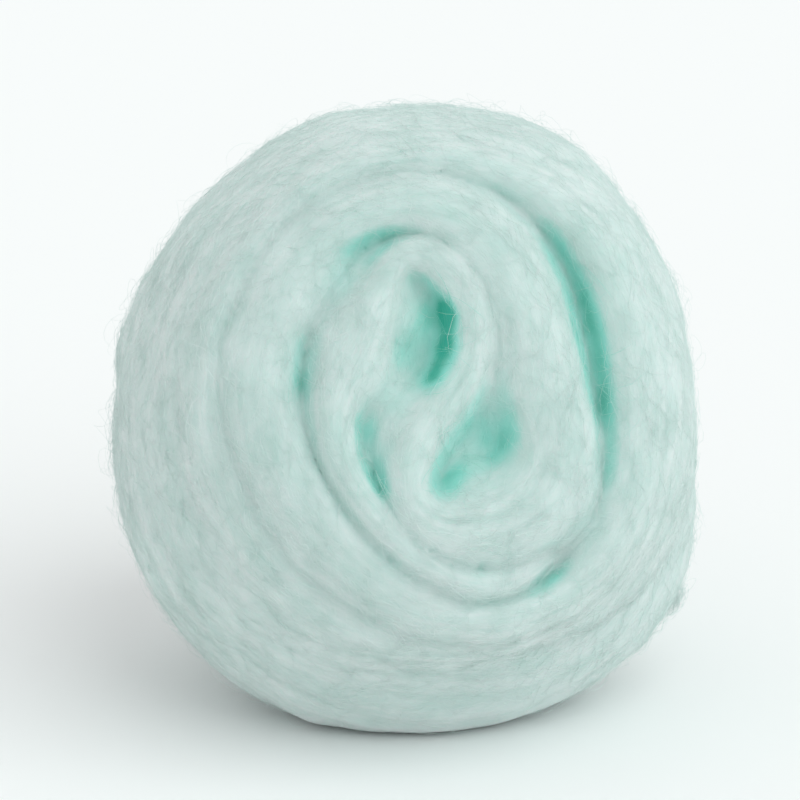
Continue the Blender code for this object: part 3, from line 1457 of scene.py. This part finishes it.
    def _rotation(self, tree: Tree, given: bpy.types.NodeOutputs, spread: bpy.types.Node) -> Socket:
        """Turns each fibre along the grain, then aside and up by random angles.

        Args:
            tree: The tree that gets the nodes.
            given: The tree's inputs.
            spread: The node that spreads the points.

        Returns:
            The output socket of the rotation.
        """
        grain = self._layer(tree, Layer.GRAIN, "FLOAT_VECTOR")
        inputs = {"Rotation": spread.outputs["Rotation"], "Vector": grain}
        aligned = add_node(tree, "FunctionNodeAlignRotationToVector", inputs, axis="X", pivot_axis="Z")
        along = aligned.outputs["Rotation"]
        back = maths(tree, "MULTIPLY", given["Spread"], -1.0)
        aside = self._random(tree, given, Draw.ASIDE, back, given["Spread"])
        up = self._random(tree, given, Draw.LIFT, given["Least lift"], given["Most lift"])
        flip = self._random(tree, given, Draw.FLIP, 0.0, 1.0)
        turned = maths(tree, "MULTIPLY_ADD", maths(tree, "GREATER_THAN", flip, 0.5), math.pi, aside)
        sideways = add_node(tree, "ShaderNodeCombineXYZ", {"Z": turned})
        lifted = add_node(tree, "ShaderNodeCombineXYZ", {"Y": up})
        for euler in (sideways, lifted):
            turn = add_node(tree, "FunctionNodeEulerToRotation", {"Euler": euler.outputs[0]})
            inputs = {"Rotation": along, "Rotate By": turn.outputs["Rotation"]}
            rotated = add_node(tree, "FunctionNodeRotateRotation", inputs, rotation_space="LOCAL")
            along = rotated.outputs["Rotation"]
        return along


def fleeces() -> tuple[Fleece, ...]:
    """Lists the families of fibres.

    Returns:
        The families, from those that lie flat to those that fly off.
    """
    # Each shape has its length, arch, curl and radius
    lying = (
        FibreShape(3.0 * MM, 0.05 * MM, 0.35 * MM, 0.008 * MM),
        FibreShape(2.4 * MM, 0.08 * MM, -0.45 * MM, 0.008 * MM, waves=0.8),
        FibreShape(3.6 * MM, 0.03 * MM, 0.60 * MM, 0.008 * MM, waves=0.6),
        FibreShape(1.9 * MM, 0.10 * MM, 0.35 * MM, 0.009 * MM, waves=1.0),
    )
    fuzz = (
        FibreShape(1.2 * MM, 0.26 * MM, 0.25 * MM, 0.007 * MM),
        FibreShape(1.7 * MM, 0.40 * MM, -0.35 * MM, 0.007 * MM, waves=0.8),
        FibreShape(1.0 * MM, 0.18 * MM, 0.30 * MM, 0.007 * MM, waves=1.0),
    )
    flyaway = (
        FibreShape(2.6 * MM, 0.8 * MM, 0.7 * MM, 0.006 * MM, waves=0.7, joints=9),
        FibreShape(2.2 * MM, 1.0 * MM, -0.6 * MM, 0.006 * MM, waves=0.9, joints=9),
        FibreShape(3.4 * MM, 0.6 * MM, 0.9 * MM, 0.006 * MM, waves=0.5, joints=9),
    )
    # Each family has its number per square metre, least and most lift, spread, and least and most size
    return (
        Fleece("lying_fibres", lying, 2.6e6, -2.0, 3.0, 35.0, seed=2),
        Fleece("crossing_fibres", lying, 2.6e6, -2.0, 6.0, 90.0, seed=5),
        Fleece("fuzz", fuzz, 2.6e6, 0.0, 28.0, 90.0, 0.5, 1.3, seed=9),
        Fleece("flyaway_fibres", flyaway, 1.6e5, 0.0, 15.0, 90.0, 0.5, 1.2, seed=14),
    )


def patch_of(wool: bpy.types.Object, towards: Vector, reach: float) -> bpy.types.Object:
    """The wool's faces round its farthest corner in one direction, as an object of their own.

    Args:
        wool: The wool's object.
        towards: The direction.
        reach: How far from that corner the faces go.

    Returns:
        The new object.
    """
    work = bmesh.new()
    work.from_mesh(wool.data)
    tip = max(work.verts, key=lambda corner: corner.co.dot(towards)).co.copy()
    far = [corner for corner in work.verts if (corner.co - tip).length > reach]
    bmesh.ops.delete(work, geom=far, context="VERTS")
    patch = linked(bpy.data.meshes.new("patch"), "patch")
    work.to_mesh(patch.data)
    work.free()
    return patch


def tail_tuft(wool: bpy.types.Object, finish: bpy.types.Material) -> FibreCoat:
    """The pinch of loose fibres that stands off the strip's tail.

    Args:
        wool: The wool's object.
        finish: The fibres' material.

    Returns:
        The fibres.
    """
    shapes = (
        FibreShape(1.5 * MM, 0.50 * MM, 0.35 * MM, 0.009 * MM, waves=0.8),
        FibreShape(2.0 * MM, 0.70 * MM, -0.45 * MM, 0.009 * MM, waves=0.9),
        FibreShape(1.1 * MM, 0.40 * MM, 0.30 * MM, 0.010 * MM, waves=1.0),
    )
    patch = patch_of(wool, TAIL_TIP, TUFT_REACH)
    fleece = Fleece("tail_tuft", shapes, 5.0e7, 0.0, 60.0, 90.0, 0.5, 1.2, seed=21)
    coat = FibreCoat(fleece, patch, finish)
    bpy.data.objects.remove(patch, do_unlink=True)
    return coat


# The studio
@dataclass(frozen=True)
class MatteCard:
    """White card under the object: a plain pale ground that only holds a soft shadow."""

    name: str = "matte white card"
    tone: str = "#F8F8F8"
    roughness: float = 0.9
    gloss: float = 0.1
    reach: float = 3.0
    below: float = 0.02 * MM

    def lay(self) -> bpy.types.Object:
        """Lays the card just under the object.

        Returns:
            The new object.
        """
        far = self.reach
        corners = [(-far, -far, 0), (far, -far, 0), (far, far, 0), (-far, far, 0)]
        mesh = bpy.data.meshes.new("floor")
        mesh.from_pydata(corners, [], [(0, 1, 2, 3)])
        floor = linked(mesh, "floor")
        floor.location.z = -self.below
        tone = linear(self.tone)
        settings = {"Base Color": tone, "Roughness": self.roughness, "Specular IOR Level": self.gloss}
        mesh.materials.append(new_material(self.name, settings)[0])
        return floor


@dataclass(frozen=True)
class Studio:
    """A pale floor on white, soft daylight and the camera."""

    card: MatteCard = MatteCard()
    sky_tone: str = "#F7F8F8"
    sun_tone: str = "#F3FFFD"
    sky_level: float = 0.81
    sun_level: float = 1.20
    sun_spread_deg: float = 60.0
    sun_from: tuple[float, float, float] = (0.55, -0.75, 1.0)
    azimuth_deg: float = -9.0
    elevation_deg: float = 18.0
    lens_mm: float = 300.0
    seen_from_to: tuple[float, float] = (0.01, 10.0)
    fill_of_frame: float = 0.76

    def build(self) -> None:
        """Lights the scene and sets up the floor and the camera."""
        self._world()
        self.card.lay()
        self._sun()
        self._camera()
        bpy.context.scene.view_settings.view_transform = "Standard"

    def _world(self) -> None:
        """White behind the object, and an even, slightly cool light from all round."""
        world = bpy.data.worlds.new("studio")
        bpy.context.scene.world = world
        world.use_nodes = True
        tree = world.node_tree
        sky = tree.nodes["Background"]
        sky.inputs["Color"].default_value = linear(self.sky_tone)
        sky.inputs["Strength"].default_value = self.sky_level
        white = add_node(tree, "ShaderNodeBackground", {"Color": (1, 1, 1, 1), "Strength": 1.0})
        path = add_node(tree, "ShaderNodeLightPath")
        inputs = {0: path.outputs["Is Camera Ray"], 1: sky.outputs[0], 2: white.outputs[0]}
        mix = add_node(tree, "ShaderNodeMixShader", inputs)
        tree.links.new(mix.outputs[0], tree.nodes["World Output"].inputs["Surface"])

    def _sun(self) -> None:
        """A broad soft light from the upper right, in front."""
        data = bpy.data.lights.new("daylight", "SUN")
        data.energy = self.sun_level
        data.color = linear(self.sun_tone)[:3]
        data.angle = math.radians(self.sun_spread_deg)
        lamp = bpy.data.objects.new("daylight", data)
        bpy.context.scene.collection.objects.link(lamp)
        lamp.rotation_euler = Vector(self.sun_from).to_track_quat("Z", "Y").to_euler()

    def _camera(self) -> None:
        """A long lens that looks down on the front end, as in the photograph."""
        data = bpy.data.cameras.new("camera")
        data.lens = self.lens_mm
        data.clip_start, data.clip_end = self.seen_from_to
        camera = bpy.data.objects.new("camera", data)
        bpy.context.scene.collection.objects.link(camera)
        bpy.context.scene.camera = camera
        low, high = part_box(CAD_NODE)
        centre = (Vector(low) + Vector(high)) / 2
        across = max(high[i] - low[i] for i in range(3))
        azimuth, elevation = math.radians(self.azimuth_deg), math.radians(self.elevation_deg)
        level = Vector((math.sin(azimuth), -math.cos(azimuth), 0)) * math.cos(elevation)
        back = level + Vector((0, 0, math.sin(elevation)))
        distance = across / self.fill_of_frame * data.lens / data.sensor_width
        camera.location = centre + back * distance
        camera.rotation_euler = back.to_track_quat("Z", "Y").to_euler()


def main() -> None:
    """Builds the wool, its fibres and the studio."""
    logging.basicConfig(level=logging.INFO, format="%(name)s: %(message)s")
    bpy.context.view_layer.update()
    wool = WoolBody(RollForm(), SkinForm(), CreaseShade(), Relief(), CardedCotton())
    LOG.info("wool: %d triangles", triangles(wool.obj.data))
    fibre = SingleFibre().build()
    coats = [FibreCoat(fleece, wool.obj, fibre) for fleece in fleeces()]
    coats.append(tail_tuft(wool.obj, fibre))
    for coat in coats:
        LOG.info("%s: %d triangles", coat.fleece.name, triangles(coat.obj.data))
    for obj in (wool.obj, *(coat.obj for coat in coats)):
        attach(obj, BODY)
    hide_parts(CAD_NODE)
    Studio().build()


if __name__ == "__main__":
    main()
